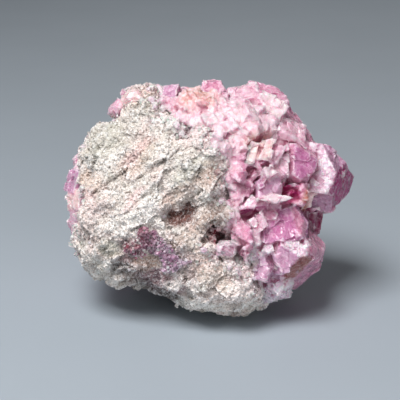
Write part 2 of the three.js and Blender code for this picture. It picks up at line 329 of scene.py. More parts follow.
class CalciteSettings(bpy.types.PropertyGroup):
    crystal: size_of("Crystal", "Width of the crust's small crystals", 1.5)
    pink: colour_of("Pink", "Most of the crust", "d695b2")
    sugar: colour_of("Sugar", "Pale granular crust", "f2d5dc")
    frost: colour_of("Frost", "Etched and cracked white faces", "ecd3e2")
    peach: colour_of("Peach", "Crystals with a little iron", "f0cfce")
    apricot: colour_of("Apricot", "Crust with more iron in it", "e2b09e")
    pale: colour_of("Pale", "Clear crystals with little colour", "e0b3c5")
    violet: colour_of("Violet", "Clear violet-pink faces", "c47aa8")
    lilac: colour_of("Lilac", "Pale violet faces", "cb9cba")
    magenta: colour_of("Magenta", "Deep pink side faces", "ae2c78")
    # Partly painted shade: also darkens gaps in the crust and a face turned into the rock.
    maroon: colour_of("Maroon", "Deep red faces, and painted shade in gaps and on faces that look into the rock", "7e1a4c")
    salmon: colour_of("Salmon", "Iron-stained underside", "a0625e")
    cleft: colour_of("Cleft", "Gaps between crystals that light gets into", "c01c78")
    amber: colour_of("Amber", "Small orange prisms", "b4684f")


# ---------------------------------------------------------------------------------------------
# Where things lie on the show side
# ---------------------------------------------------------------------------------------------

# Stains on the rock, some of them painted shade or painted light: what, middle, half length, half
# width, run in degrees, colour, strength.
ROCK_STAINS = [
    # Painted shade: the rock's left side darkened.
    ("left side", (-21, 0), 15, 8, 80, "left_side_shade", 0.15),
    ("upper left", (-22, 12), 6, 4, 45, "grey_green", 0.7),
    ("top knob", (-14, 21), 5, 3, 10, "beige", 0.6),
    ("under the top knob", (-12, 19), 4, 2, 30, "grey_green", 0.6),
    ("white patch", (-8, 17), 3, 2.5, 0, "white", 0.9),
    ("upper beige", (-15, 8), 5, 2, 40, "beige", 0.6),
    ("upper blush streak", (-15, 9), 4, 1, 45, "blush", 0.8),
    ("lower blush streak", (-16, -0.5), 4, 1, 45, "blush", 0.9),
    ("upper white ridge", (-22, 6), 6, 2, 42, "white", 0.5),
    ("middle grey", (-4, 5), 5, 2, 40, "grey_green", 0.8),
    ("beside the crust", (1, 5), 4, 3, 50, "tan", 0.4),
    ("trough", (-6, 1), 6, 1.6, 42, "tan", 0.5),
    ("brown hollow", (-6, -3.4), 3.8, 2.2, 20, "brown", 0.95),
    ("lower ridge", (-13, -3), 6, 2, 60, "white", 0.5),
    ("lower left", (-25, -3), 5, 5, 0, "blush", 0.35),
    ("pale band below the middle", (-17.4, -4.6), 7, 2.2, 10, "white", 0.55),
    ("above the pale band", (-14, -1.6), 5, 2, 30, "white", 0.35),
    ("upper left edge", (-25, 3.7), 2.6, 2.2, 0, "beige", 0.7),
    ("below the brown hollow", (-6.6, -8.6), 2.8, 1.6, 30, "tan", 0.6),
    ("middle", (2, -3.5), 4, 3, 80, "tan", 0.6),
    # Darkens the rock beside the crust.
    ("darker beside the crust", (1, -3.6), 2.4, 1.8, 70, "dark_shade_and_dirt", 0.45),
    ("right of the brown hollow", (-2, -5.4), 3, 2, 40, "tan", 0.6),
    ("above the middle", (0, 3.6), 3, 2, 40, "tan", 0.5),
    ("pale spot left of the crevice", (-20.8, -13), 1.8, 1.4, 0, "white", 0.7),
    ("left of the druse", (-17, -11.4), 3.4, 2.8, 30, "mauve", 0.75),
    ("below the druse", (-10.5, -17.2), 6, 2.6, -15, "mauve", 0.85),
    ("right of the druse", (-4.6, -13.4), 2.6, 4, 20, "mauve", 0.5),
    ("pebble below the druse", (-8, -17.6), 1.8, 1.3, 0, "white", 0.7),
    ("left of the crevice", (-22, -10.6), 2.4, 1.6, -30, "tan", 0.7),
    ("left edge", (-26.6, 0.6), 2, 3, 90, "blush", 0.8),
    # Painted light: a pale stain that lightens a shaded hollow above the druse.
    ("lightened above the druse", (-17, -7.2), 3, 1.4, 10, "white", 0.6),
    ("clay knob", (-13, -13), 3, 1.8, 10, "tan", 0.9),
    ("lower left grey", (-21, -10), 3, 2, -30, "grey_green", 0.8),
    # Painted shade: the crevice darkened.
    ("crevice", (-18.5, -14.5), 2.6, 1.6, -30, "dark_shade_and_dirt", 0.8),
    ("lower beige", (0, -13), 6, 4, -60, "beige", 0.5),
    ("pocket", (1.2, -7.6), 2.2, 1.8, 0, "wine", 1.0),
    ("dusky patch by the crust", (3.6, 9.3), 1.6, 1.2, 0, "mauve", 0.8),
    ("brown spot by the crust", (1.1, 5), 1.1, 1, 0, "brown", 0.6),
    ("dusky patch, upper", (-5.5, 13.4), 1.6, 1.2, 0, "mauve", 0.7),
    ("dusky spot near the top", (-7.6, 20.3), 1.2, 0.8, 0, "mauve", 0.7),
    ("brown lump", (-9, -20.5), 2.6, 1.8, 0, "dark_shade_and_dirt", 0.9),
    # Painted shade: the underside darkened.
    ("underside", (-14.5, -18.5), 5, 2, -20, "dark_shade_and_dirt", 0.5),
    # Partly painted light: the downward-facing lower lip is whitened to look lit, over its own pale
    # colour.
    ("lower lip", (2, -21.6), 8, 2.4, 0, "white", 0.7),
    ("blush of the lower lip", (3, -20.6), 6, 1.6, 0, "blush", 0.4),
]

# Tints of the crust between its large crystals, in the same way; some darken gaps as painted shade.
CRUST_TINTS = [
    ("peach top", (-2.6, 20.5), 5, 3.4, 0, "apricot", 0.75),
    ("orange core", (-0.9, 23.4), 1.4, 1.8, 0, "amber", 0.5),
    ("upper sugar", (1, 15), 9, 5, 10, "sugar", 0.85),
    ("right sugar", (11, 16), 6, 4, -30, "sugar", 0.6),
    ("white arc", (14, 18.5), 7, 1.3, -45, "frost", 0.9),
    ("around the peach prism", (10, 11.2), 4, 2.6, 0, "apricot", 0.6),
    # Painted shade: the gap beside the peach prism darkened.
    ("gap beside the peach prism", (9.3, 4.8), 2, 1.5, 20, "maroon", 0.6),
    ("red grains by the lilac face", (8, 1.6), 1.8, 1.4, 0, "maroon", 0.5),
    # Painted shade: the small gap darkened.
    ("small dark gap", (3.3, 0.6), 1.4, 1.2, 0, "maroon", 0.8),
    ("prisms by the cleft", (20.4, 0), 1.4, 1.8, 0, "amber", 0.9),
    ("cleft", (16.4, 0.8), 2.6, 2.6, 0, "cleft", 1.0),
    # Painted shade: the gap in the lower crust darkened.
    ("gap in the lower crust", (7, -11.5), 2, 1, 20, "maroon", 0.7),
    # Painted shade: the spot in the hollow by the lower lip darkened.
    ("spot by the lower lip", (9.3, -18.3), 1.6, 1, 0, "maroon", 0.7),
    ("granular patch", (14.6, -18), 3, 1.8, 10, "sugar", 0.6),
    ("left edge", (-28.5, 0), 4, 10, 0, "sugar", 0.8),
    ("left edge, upper", (-29.4, 1.7), 2.4, 2.4, 0, "lilac", 0.7),
    ("left edge, middle", (-27, 0.6), 2, 2, 0, "peach", 0.8),
    ("left edge, lower", (-28.6, -3.4), 2, 2, 0, "salmon", 0.4),
]

CLEAVAGE_SLANT = math.radians(12)  # how far calcite's blocks lean from square

# The sides of a block before it is turned.
SIDES = {
    "front": (0, 0, 1), "back": (0, 0, -1), "right": (1, 0, 0), "left": (-1, 0, 0),
    "top": (0, 1, 0), "bottom": (0, -1, 0),
}

# How frosted the faces of some colours are, from 0 to 1, and all others.
FROSTED = {"frost": 1.0, "sugar": 0.25, "pale": 0.2}
LITTLE_FROSTED = 0.1

# The large crystals: middle, width, height and depth, the degrees by which the front face is
# turned to the right and up from facing out of the show side, the turn about that face, and the
# cut faces' own degrees and distances from the middle. Then each one's colour, those of the sides
# that differ from it, and how many smaller blocks step out of its faces.
LARGE_CRYSTALS = [
    dict(
        name="white and magenta shoulder",
        at=(24, 4, -0.4), size=(10.2, 14, 18), facing=(-18, 5), turn=-3, steps=9,
        cuts=[(90, 45, 6.2), (90, -50, 6.6), (-5, -50, 7.5), (55, 25, 7.4), (50, -30, 7.4)],
        colour="pink",
        sides={"front": "frost", "right": "magenta", "cut 0": "lilac", "cut 2": "lilac",
               "cut 3": "lilac"},
    ),
    dict(
        name="violet face",
        at=(17, 6.8, 7.2), size=(7, 8, 11), facing=(22, 5), turn=-4, steps=0,
        cuts=[(60, 45, 5.4), (60, -45, 5.2), (-30, -50, 4.9), (-22, 5, 5.3)],
        colour="pink", sides={"front": "violet"},
    ),
    dict(
        name="lilac face above the cleft",
        at=(11, 1.6, 13.6), size=(6, 4, 7), facing=(22, 15), turn=15, steps=2,
        cuts=[(-30, 40, 3.7), (60, -10, 3.7)], colour="lilac", sides={"right": "pink"},
    ),
    dict(
        name="bed of the white wing",
        at=(12.6, 5.4, 12.2), size=(6, 4.8, 7), facing=(12, 20), turn=6, steps=3, colour="pale",
    ),
    dict(
        name="white wing",
        at=(11.7, 4.8, 14.5), size=(4.6, 2.4, 6), facing=(25, 20), turn=25, steps=1,
        cuts=[(90, 50, 2)], colour="pale", sides={"front": "sugar"},
    ),
    dict(
        name="peach prism",
        at=(10.9, 9.4, 14.2), size=(2.2, 5, 6), facing=(15, 10), turn=-12, steps=1,
        cuts=[(-40, 60, 2.8)], colour="peach", sides={"right": "pink"},
    ),
    dict(
        name="peach prism to the left",
        at=(9, 8.8, 14.4), size=(1.9, 4.6, 6), facing=(-10, 5), turn=-6, steps=1, colour="peach",
    ),
    dict(
        name="pink prism to the right",
        at=(12.8, 8.7, 13.4), size=(1.9, 4.2, 6), facing=(20, 5), turn=-16, steps=1,
        colour="pale",
    ),
    dict(
        name="blade across the cleft",
        at=(13, -0.2, 16.8), size=(8.6, 2.2, 4), facing=(18, 10), turn=12, steps=0,
        cuts=[(-90, 70, 1.15), (90, -70, 1.15), (90, 80, 0.95), (-90, -80, 0.95)], colour="sugar",
    ),
    dict(
        name="amber prism",
        at=(19.5, -0.6, 7), size=(1.2, 3.6, 4), facing=(15, 0), turn=4, steps=0, colour="amber",
    ),
    dict(
        name="cream prism",
        at=(20.7, 0.2, 6), size=(1.3, 4.6, 4), facing=(20, 0), turn=-2, steps=0, colour="peach",
    ),
    dict(
        name="pink shelf behind the blade",
        at=(8.6, -1.6, 14.6), size=(6, 2.6, 6), facing=(5, 20), turn=8, steps=4,
        cuts=[(-60, 40, 2.6)], colour="pale", sides={"bottom": "magenta"},
    ),
    dict(
        name="lower point",
        at=(14.9, -5.8, 11.2), size=(10.8, 8, 9), facing=(-8, 12), turn=10, steps=0,
        cuts=[(60, 0, 5.6), (29, 20, 5.3), (-57, 33, 4.6), (20, -45, 5.6), (83, 35, 4.8),
              (-90, 69, 3.3)],
        colour="violet", sides={"cut 0": "pink", "cut 1": "pink", "left": "lilac"},
    ),
    dict(
        name="pink crystal under the blade",
        at=(11.4, -3.8, 12.4), size=(5, 4, 6), facing=(-5, 20), turn=10, steps=2, colour="pink",
    ),
    dict(
        name="maroon face",
        at=(17.7, -5.2, 2.7), size=(8, 4.4, 10), facing=(55, 0), turn=-5, steps=2,
        # Partly painted shade: the recessed face's deep red is darkened to maroon.
        colour="maroon",
    ),
    dict(
        name="lower right lump",
        at=(16.5, -12.5, 5), size=(15, 14, 26), facing=(0, 0), steps=0,
        cuts=[(15, 30, 10.6), (62, 5, 8.2), (40, -50, 6.2), (-25, -30, 8.4), (60, -50, 5.4),
              (45, 35, 9.4), (70, 40, 7.2), (80, -20, 6.9), (-70, 10, 6.5), (90, -49, 6.6),
              (90, 40, 7.8)],
        colour="pink",
        sides={"cut 0": "frost", "cut 2": "salmon", "cut 3": "lilac", "cut 5": "frost"},
    ),
    dict(
        name="granular lip",
        at=(13.9, -17.9, 7.8), size=(7, 6.6, 7), facing=(5, 12), turn=12, steps=6,
        cuts=[(60, -40, 3.2), (-50, 30, 3), (-45, -45, 3.6), (55, 45, 3.6), (0, 60, 3.2)],
        colour="frost",
    ),
    dict(
        name="white ridge beside the lump",
        at=(10.6, -12, 13.2), size=(5.4, 2.4, 6), facing=(-8, 30), turn=20, steps=1,
        colour="frost",
    ),
    dict(
        name="lilac block",
        at=(13.9, -13.8, 12.5), size=(4.2, 4.4, 7), facing=(12, 5), turn=8, steps=1,
        cuts=[(-60, -20, 1.6)], colour="lilac",
    ),
    dict(
        name="violet pink block",
        at=(11.8, -14.2, 12.2), size=(3.4, 6.6, 8), facing=(-10, 6), turn=-14, steps=2,
        cuts=[(60, 20, 1.8)], colour="lilac",
    ),
    dict(
        name="pale crystal, upper part",
        at=(9.3, -5.4, 14), size=(3.4, 3.4, 7), facing=(10, 5), turn=35, steps=1,
        cuts=[(-40, 20, 2.6)], colour="pale",
    ),
    dict(
        name="pale crystal, lower part",
        at=(8.3, -8.2, 14), size=(3, 3.6, 7), facing=(5, 0), turn=20, steps=1,
        cuts=[(-50, -10, 1.8)], colour="pale",
    ),
    dict(
        name="round crystal in the pocket",
        at=(2.9, -10.6, 15.2), size=(4.2, 3.4, 8), facing=(0, 10), steps=0,
        cuts=[(-50, 0, 3.2), (50, 0, 3.2), (0, 60, 2.6), (0, -50, 2.8), (-90, 45, 2.1),
              (90, 45, 2.1), (-90, -45, 2.1), (90, -45, 2.1)],
        colour="pale",
    ),
    dict(
        name="top right block",
        at=(11.2, 18.6, -1.6), size=(12.2, 9, 9.5), facing=(8, 58), turn=-32, steps=3,
        cuts=[(90, 25, 6), (-60, 30, 5.2), (90, 45, 6.6)], colour="pink",
        sides={"cut 0": "magenta"},
    ),
    dict(
        name="slope under the top right block",
        at=(15, 11.4, 1.8), size=(9, 9.5, 12), facing=(68, 37), steps=5, colour="pink",
    ),
    dict(
        name="pale crystal on the upper slope",
        at=(11.2, 17, 6.8), size=(7, 5, 8), facing=(22, 35), turn=-30, steps=4,
        cuts=[(-40, 20, 3.6)], colour="pale", sides={"front": "sugar"},
    ),
    dict(
        name="pale crystal at its left",
        at=(7.2, 20, 5), size=(6.4, 5, 7), facing=(-5, 45), turn=20, steps=3, colour="pale",
    ),
    dict(
        name="pink crystal lower on the slope",
        at=(15, 12.2, 7), size=(7, 6, 8), facing=(40, 30), turn=-20, steps=3,
        cuts=[(10, -30, 3.4)], colour="pale",
    ),
    dict(
        name="top peak",
        at=(0.4, 22.2, 1.4), size=(5.4, 5.4, 8), facing=(0, 30), turn=45, steps=1,
        cuts=[(0, 80, 3.3), (-90, 20, 2.9), (90, 20, 2.9)], colour="pink",
    ),
    dict(
        name="white crystal at the contact",
        at=(-7.2, 18.4, 8.2), size=(4.4, 3, 5), facing=(0, 30), turn=-20, steps=2,
        colour="sugar",
    ),
    dict(
        name="violet crystal at the top",
        at=(-8, 20.9, 7.4), size=(3.4, 4, 5), facing=(-15, 35), turn=10, steps=1,
        colour="lilac",
    ),
    dict(
        name="knob at the top left",
        at=(-16, 20.4, 9.4), size=(5, 4, 6), facing=(-10, 25), turn=8, steps=0,
        cuts=[(-60, 35, 2.4), (60, 45, 2.4), (-10, 65, 2.4), (-50, -20, 2.6)], colour="peach",
    ),
    dict(
        name="lower knob at the top left",
        at=(-19.4, 18.8, 8.2), size=(3, 3.4, 6), facing=(-15, 15), turn=-20, steps=0,
        cuts=[(-60, 40, 1.8), (50, 30, 1.8), (-50, -30, 1.8)], colour="pale",
    ),
    dict(
        name="left edge crystal, upper",
        at=(-26.6, 3, 5.6), size=(4, 5, 7), facing=(-50, 10), turn=-10, steps=2, colour="lilac",
    ),
    dict(
        name="left edge crystal, middle",
        at=(-26.4, -0.4, 6), size=(4, 4, 7), facing=(-45, 0), turn=8, steps=2, colour="peach",
    ),
    dict(
        name="left edge crystal, lower",
        at=(-26.6, -3.6, 6), size=(3.6, 3.6, 6), facing=(-45, -10), turn=-6, steps=2,
        colour="pale",
    ),
]

# Hollows in the show side: what, middle, radius and depth.
HOLLOWS = [
    ("cleft", (16.6, 0.6), 2.8, 1.8),
    ("beside the peach prism", (8.6, 4.6), 1.8, 1.2),
    ("small dark gap", (3.3, 0.6), 1.6, 1.4),
    ("pocket", (1.2, -7.6), 1.8, 2.2),
    ("shadow beside the pocket", (-0.6, -8.8), 1.2, 2.6),
    ("left of the lower point", (10.4, -8.6), 2.4, 1.8),
    ("left of the blade", (9.4, 0.6), 1.6, 1.2),
    ("below the lower point", (14, -11.6), 2.6, 1.6),
    ("by the amber prisms", (19.8, -0.8), 1.8, 1.4),
    ("brown hollow", (-6.5, -3.8), 4.2, 0.6),
    ("crevice", (-18.5, -14.5), 2.4, 1.0),
    ("spot by the lower lip", (9.3, -18.3), 1.4, 1.0),
]

# Notches in the show side's outline: what, direction in degrees, up from the right, half width in
# degrees and depth in millimetres.
NOTCHES = [
    ("above the shoulder", 28, 7, 1.0),
    ("on the upper right slope", 42, 7, 0.7),
    ("under the top left knobs", 138, 9, 2.0),
    ("lower left, under the crevice", 232, 8, 1.7),
    ("under the lower lip", 266, 14, 0.9),
]

CREST = 23.2  # show height, in millimetres, above which the crust's crests are worn


def blended(colour, other, share):
    """A colour turned towards another, by a share from 0 to 1 at each vertex."""
    share = share[:, None]
    return np.array(colour) * (1 - share) + np.array(other) * share


def patchwork(obj, settings, colour, patches):
    """Soft-edged patches, their outlines uneven, over the colour of each vertex of a piece.

    A patch reaches only the show side and fades towards the sides of the rock."""
    at = shown(places(obj))
    bent = at + 1.2 * wandering(at, 4.0, (3.1, 17.7, 41.3))
    front = smooth_step(-10, 0, at[:, 2])
    for _, (x, y), long, wide, run, stain, strength in patches:
        turn = math.radians(run)
        dx, dy = bent[:, 0] - x, bent[:, 1] - y
        along = (dx * math.cos(turn) + dy * math.sin(turn)) / long
        across = (dy * math.cos(turn) - dx * math.sin(turn)) / wide
        near = 1 - smooth_step(0.55, 1.35, np.hypot(along, across))
        colour = blended(colour, getattr(settings, stain), strength * near * front)
    return colour


def mottled(obj, colour, other, size, share, shift):
    """A colour broken up by blotches of another, about `size` millimetres across."""
    blotch = smooth_step(0.0, 0.35, noise_at(shown(places(obj)), size, shift))
    return blended(colour, other, blotch * share)


def store_tint(obj, colour):
    """Keeps a colour at each vertex as the piece's tint."""
    store(obj, "tint", np.hstack([colour, np.ones((len(colour), 1))]), "FLOAT_COLOR")


# ---------------------------------------------------------------------------------------------
# Relief
# ---------------------------------------------------------------------------------------------


def new_recipe(name):
    """A Geometry Nodes tree that takes a shape in and gives one out."""
    tree = bpy.data.node_groups.new(name, "GeometryNodeTree")
    tree.interface.new_socket("Geometry", in_out="INPUT", socket_type="NodeSocketGeometry")
    tree.interface.new_socket("Geometry", in_out="OUTPUT", socket_type="NodeSocketGeometry")
    return tree


def chip(obj, size, tilt, step, stretch=1.0, weight=None):
    """Breaks a surface into flat facets about `size` millimetres across, each leaning by up to
    `tilt` (a slope) and set up or down by up to `step` millimetres. A stretch above 1 draws them
    out along the bedding. `weight` names an attribute that says how much, from 0 to 1."""
    tree = new_recipe(f"{obj.name} chips {size} mm")
    solid = node(tree, "NodeGroupInput").outputs[0]
    position = node(tree, "GeometryNodeInputPosition").outputs[0]
    about = node(
        tree, "ShaderNodeVectorMath", {0: position, 1: MIDDLE}, operation="SUBTRACT",
    ).outputs[0]
    run = SHOW_RIGHT * math.cos(BEDDING) + SHOW_UP * math.sin(BEDDING)
    across = SHOW_UP * math.cos(BEDDING) - SHOW_RIGHT * math.sin(BEDDING)
    laid = {}
    for i, axis in enumerate((run / (stretch * MM), across / MM, SHOW_OUT / MM)):
        along = node(
            tree, "ShaderNodeVectorMath", {0: about, 1: axis}, operation="DOT_PRODUCT",
        )
        laid[i] = along.outputs["Value"]
    at = node(tree, "ShaderNodeCombineXYZ", laid).outputs[0]
    cells = node(tree, "ShaderNodeTexVoronoi", {"Vector": at, "Scale": 1 / size})
    off = node(
        tree, "ShaderNodeVectorMath", {0: at, 1: cells.outputs["Position"]}, operation="SUBTRACT",
    ).outputs[0]
    lean = node(
        tree, "ShaderNodeVectorMath",
        {0: cells.outputs["Color"], 1: (2 * tilt,) * 3, 2: (-tilt,) * 3}, operation="MULTIPLY_ADD",
    ).outputs[0]
    facet = node(
        tree, "ShaderNodeVectorMath", {0: off, 1: lean}, operation="DOT_PRODUCT",
    ).outputs["Value"]
    chance = node(tree, "ShaderNodeSeparateXYZ", {0: cells.outputs["Color"]}).outputs[0]
    rise = node(
        tree, "ShaderNodeMath", {0: chance, 1: 2 * step * MM, 2: -step * MM},
        operation="MULTIPLY_ADD",
    ).outputs[0]
    height = node(
        tree, "ShaderNodeMath", {0: facet, 1: MM, 2: rise}, operation="MULTIPLY_ADD",
    ).outputs[0]
    if weight:
        much = node(
            tree, "GeometryNodeInputNamedAttribute", {"Name": weight}, data_type="FLOAT",
        ).outputs[0]
        height = node(tree, "ShaderNodeMath", {0: height, 1: much}, operation="MULTIPLY").outputs[0]
    normal = node(tree, "GeometryNodeInputNormal").outputs[0]
    offset = node(
        tree, "ShaderNodeVectorMath", {0: normal, "Scale": height}, operation="SCALE",
    ).outputs[0]
    moved = node(tree, "GeometryNodeSetPosition", {"Geometry": solid, "Offset": offset}).outputs[0]
    node(tree, "NodeGroupOutput", {0: moved})
    finish_with(obj, "NODES", node_group=tree)


def hollow_depth(at):
    """How deep, in millimetres, the show side's hollows are at show-frame places; their rims are
    ragged."""
    rag = noise_at(at * (1, 1, 0), 1.2, 8.0)
    sunk = np.zeros(len(at))
    for _, (x, y), radius, depth in HOLLOWS:
        far = np.hypot(at[:, 0] - x, at[:, 1] - y) / radius + 0.45 * rag
        sunk = np.maximum(sunk, depth * (1 - smooth_step(0.3, 1.15, far)))
    return sunk * smooth_step(0, 6, at[:, 2])


def hollow_out(obj):
    """Sinks the show side where it has hollows."""
    points = places(obj)
    sunk = hollow_depth(shown(points))[:, None]
    move_to(obj, points - sunk * np.array(SHOW_OUT) * MM)


def notch(obj):
    """Takes the notches out of the show side's outline."""
    points = places(obj)
    at = shown(points)
    angle = np.degrees(np.arctan2(at[:, 1], at[:, 0]))
    deep = np.zeros(len(at))
    for _, direction, width, depth in NOTCHES:
        off = (angle - direction + 180) % 360 - 180
        deep += depth * (1 - smooth_step(0.3, 1.4, np.abs(off) / width))
    deep *= smooth_step(14, 22, np.hypot(at[:, 0], at[:, 1]))
    inward = -at * (1, 1, 0) / np.maximum(np.hypot(at[:, 0], at[:, 1]), 1)[:, None]
    move_to(obj, points + deep[:, None] * inward @ np.array(SHOW_AXES).T * MM)


def roughen(obj, size, height):
    """Raises and sinks a surface in soft lumps, their size and height in millimetres."""
    texture = bpy.data.textures.new(f"{obj.name} lumps {size} mm", "CLOUDS")
    texture.noise_scale = size * MM
    finish_with(obj, "DISPLACE", texture=texture, strength=height * MM, texture_coords="LOCAL")


def bend(obj, size, reach):
    """Bends a surface this way and that by up to `reach` millimetres, so that no ledge of it runs
    straight."""
    points = places(obj)
    move_to(obj, points + reach * MM * wandering(shown(points), size, (71.0, 83.0, 97.0)))


# ---------------------------------------------------------------------------------------------
# Materials
# ---------------------------------------------------------------------------------------------


def new_material(name):
    """A material, its node tree, its shader and the place that its patterns are read at."""
    material = bpy.data.materials.new(name)
    material.use_nodes = True
    tree = material.node_tree
    at = node(tree, "ShaderNodeTexCoord").outputs["Object"]
    return material, tree, tree.nodes["Principled BSDF"], at


def kept_value(tree, name, output="Fac"):
    """A value or colour that a piece keeps at each vertex."""
    return node(tree, "ShaderNodeAttribute", attribute_name=name).outputs[output]


def mixed(tree, a, b, share, blend="MIX"):
    """One colour mixed, or multiplied, with another."""
    made = node(tree, "ShaderNodeMix", {0: share, 6: a, 7: b}, data_type="RGBA", blend_type=blend)
    return made.outputs[2]


def opaque(code):
    """A colour written as an sRGB hex code, as a material's colour."""
    return linear(code) + [1.0]


def ramp(tree, value, low, high, to_low=0.0, to_high=1.0):
    """A value that goes softly from `to_low` to `to_high` as another goes from low to high."""
    return node(
        tree, "ShaderNodeMapRange",
        {"Value": value, "From Min": low, "From Max": high, "To Min": to_low, "To Max": to_high},
        interpolation_type="SMOOTHSTEP",
    ).outputs[0]


def glinting(tree, at, size, tilt):
    """The look of a surface broken into flat facets about `size` millimetres across that lean by
    up to `tilt` (a slope), so that each catches the light by itself."""
    cells = node(tree, "ShaderNodeTexVoronoi", {"Vector": at, "Scale": 1 / (size * MM)})
    off = node(
        tree, "ShaderNodeVectorMath", {0: at, 1: cells.outputs["Position"]}, operation="SUBTRACT",
    ).outputs[0]
    lean = node(
        tree, "ShaderNodeVectorMath",
        {0: cells.outputs["Color"], 1: (2 * tilt,) * 3, 2: (-tilt,) * 3}, operation="MULTIPLY_ADD",
    ).outputs[0]
    height = node(
        tree, "ShaderNodeVectorMath", {0: off, 1: lean}, operation="DOT_PRODUCT",
    ).outputs["Value"]
    bump = node(tree, "ShaderNodeBump", {"Height": height, "Strength": 1.0, "Distance": 1.0})
    return bump.outputs["Normal"]


def sugary_rock():
    """Sugary dolomite and quartz: grains about half a millimetre across, grown together and
    broken, so the face is matt and each grain catches the light by itself. The pits between
    are darkened in colour, as painted shade."""
    material, tree, shader, at = new_material("Sugary matrix rock, broken")
    relief = kept_value(tree, "relief")
    grains = node(tree, "ShaderNodeTexVoronoi", {"Vector": at, "Scale": 1 / (0.5 * MM)})
    each = node(tree, "ShaderNodeSeparateColor", {0: grains.outputs["Color"]}).outputs[0]
    cloud = node(
        tree, "ShaderNodeTexNoise",
        {"Vector": at, "Scale": 1 / (0.8 * MM), "Detail": 4.0, "Roughness": 0.7},
    ).outputs["Fac"]
    colour = kept_value(tree, "tint", "Color")
    colour = mixed(tree, colour, opaque("ffffff"), ramp(tree, each, 0.65, 0.95, 0, 0.35))
    colour = mixed(tree, colour, opaque("9a8c84"), ramp(tree, each, 0.25, 0.05, 0, 0.4), "MULTIPLY")
    colour = mixed(
        tree, colour, opaque("6f635c"), ramp(tree, cloud, 0.42, 0.26, 0, 0.7), "MULTIPLY",
    )
    # Painted shade: pits and other low places of the relief are darkened in colour.
    colour = mixed(
        tree, colour, opaque("5a4c48"), ramp(tree, relief, -0.1, -0.45, 0, 0.6), "MULTIPLY",
    )
    colour = mixed(tree, colour, opaque("ffffff"), ramp(tree, relief, 0.05, 0.3, 0, 0.3))
    fine = node(tree, "ShaderNodeTexNoise", {"Vector": at, "Scale": 1 / (0.3 * MM), "Detail": 3.0})
    pepper = fine.outputs["Fac"]
    colour = mixed(
        tree, colour, opaque("63574f"), ramp(tree, pepper, 0.46, 0.3, 0, 0.75), "MULTIPLY",
    )
    colour = mixed(tree, colour, opaque("ffffff"), ramp(tree, pepper, 0.54, 0.7, 0, 0.4))
    bump = node(
        tree, "ShaderNodeBump",
        {"Height": pepper, "Strength": 0.5, "Distance": 0.12 * MM,
         "Normal": glinting(tree, at, 0.5, 0.35)},
    )
    plug(tree, shader, {
        "Base Color": colour, "Roughness": 0.85, "IOR": 1.55, "Normal": bump.outputs["Normal"],
        "Subsurface Weight": 0.1, "Subsurface Scale": 0.5 * MM,
        "Subsurface Radius": (1.0, 0.8, 0.7),
    })
    return material


CLEARNESS = 0.08  # how much of the light goes straight through calcite this full of veils


def cobaltoan_calcite(name, rough, facet, edge):
    """Cobaltoan calcite: milky pink to magenta crystal, its cleavage faces etched and full of
    small cracks. Light goes in and comes back pink; edges and cracked places turn frosty white.
    Clefts and other low places are painted a deeper, darker magenta, as painted shade."""
    material, tree, shader, at = new_material(name)
    relief = kept_value(tree, "relief")
    frost = kept_value(tree, "frost")
    cloudy = ramp(tree, frost, 0.1, 0.35, 0.35, 1.0)
    chips = node(tree, "ShaderNodeTexVoronoi", {"Vector": at, "Scale": 1 / (0.8 * MM)})
    each = node(tree, "ShaderNodeSeparateColor", {0: chips.outputs["Color"]}).outputs[0]
    veil = node(
        tree, "ShaderNodeTexNoise",
        {"Vector": at, "Scale": 1 / (2.2 * MM), "Detail": 6.0, "Roughness": 0.7},
    ).outputs["Fac"]
    cracks = node(
        tree, "ShaderNodeTexVoronoi", {"Vector": at, "Scale": 1 / (2.6 * MM)},
        feature="DISTANCE_TO_EDGE",
    ).outputs["Distance"]
    white = opaque("fff1f8")
    frosted = node(
        tree, "ShaderNodeMath", {0: frost, 1: ramp(tree, each, 0.2, 0.9, 0, 0.8)},
        operation="MULTIPLY",
    )
    fine = node(tree, "ShaderNodeTexNoise", {"Vector": at, "Scale": 1 / (0.5 * MM), "Detail": 5.0})
    specks = node(
        tree, "ShaderNodeMath", {0: fine.outputs["Fac"], 1: 0.9, 2: veil}, operation="MULTIPLY_ADD",
    ).outputs[0]
    colour = kept_value(tree, "tint", "Color")
    veiled = node(
        tree, "ShaderNodeMath", {0: cloudy, 1: ramp(tree, specks, 0.98, 1.18, 0, 0.5)},
        operation="MULTIPLY",
    )
    colour = mixed(tree, colour, white, veiled.outputs[0])
    colour = mixed(tree, colour, white, frosted.outputs[0])
    colour = mixed(tree, colour, white, ramp(tree, cracks, 0.025, 0.0, 0, 0.3))
    colour = mixed(tree, colour, opaque("d080aa"), ramp(tree, each, 0.3, 0.0, 0, 0.3), "MULTIPLY")
    colour = mixed(tree, colour, opaque("fde6f0"), ramp(tree, relief, edge / 4, edge, 0, 0.5))
    # Painted shade: low places of the relief are multiplied towards deep magenta.
    colour = mixed(
        tree, colour, opaque("bc5a8a"), ramp(tree, relief, -0.08, -0.5, 0, 0.7), "MULTIPLY",
    )
    bump = node(
        tree, "ShaderNodeBump",
        {"Height": fine.outputs["Fac"], "Strength": 0.35, "Distance": 0.12 * MM,
         "Normal": glinting(tree, at, facet, 0.3)},
    )
    plug(tree, shader, {
        "Base Color": colour, "Roughness": ramp(tree, veil, 0.35, 0.65, rough, rough + 0.2),
        "IOR": 1.6, "Normal": bump.outputs["Normal"], "Transmission Weight": CLEARNESS,
        "Subsurface Weight": 0.8, "Subsurface Scale": 2.4 * MM,
        "Subsurface Radius": (1.0, 0.65, 0.8),
    })
    return material


def calcite_material(name, rough=0.3, facet=0.7, edge=0.35):
    """One finish of calcite, made once and shared: `facet` is the width in millimetres of the
    facets that glint, and `edge` how far, in millimetres, an edge stands up that turns white."""
    return bpy.data.materials.get(name) or cobaltoan_calcite(name, rough, facet, edge)


# ---------------------------------------------------------------------------------------------
# Small shapes and scattering
# ---------------------------------------------------------------------------------------------


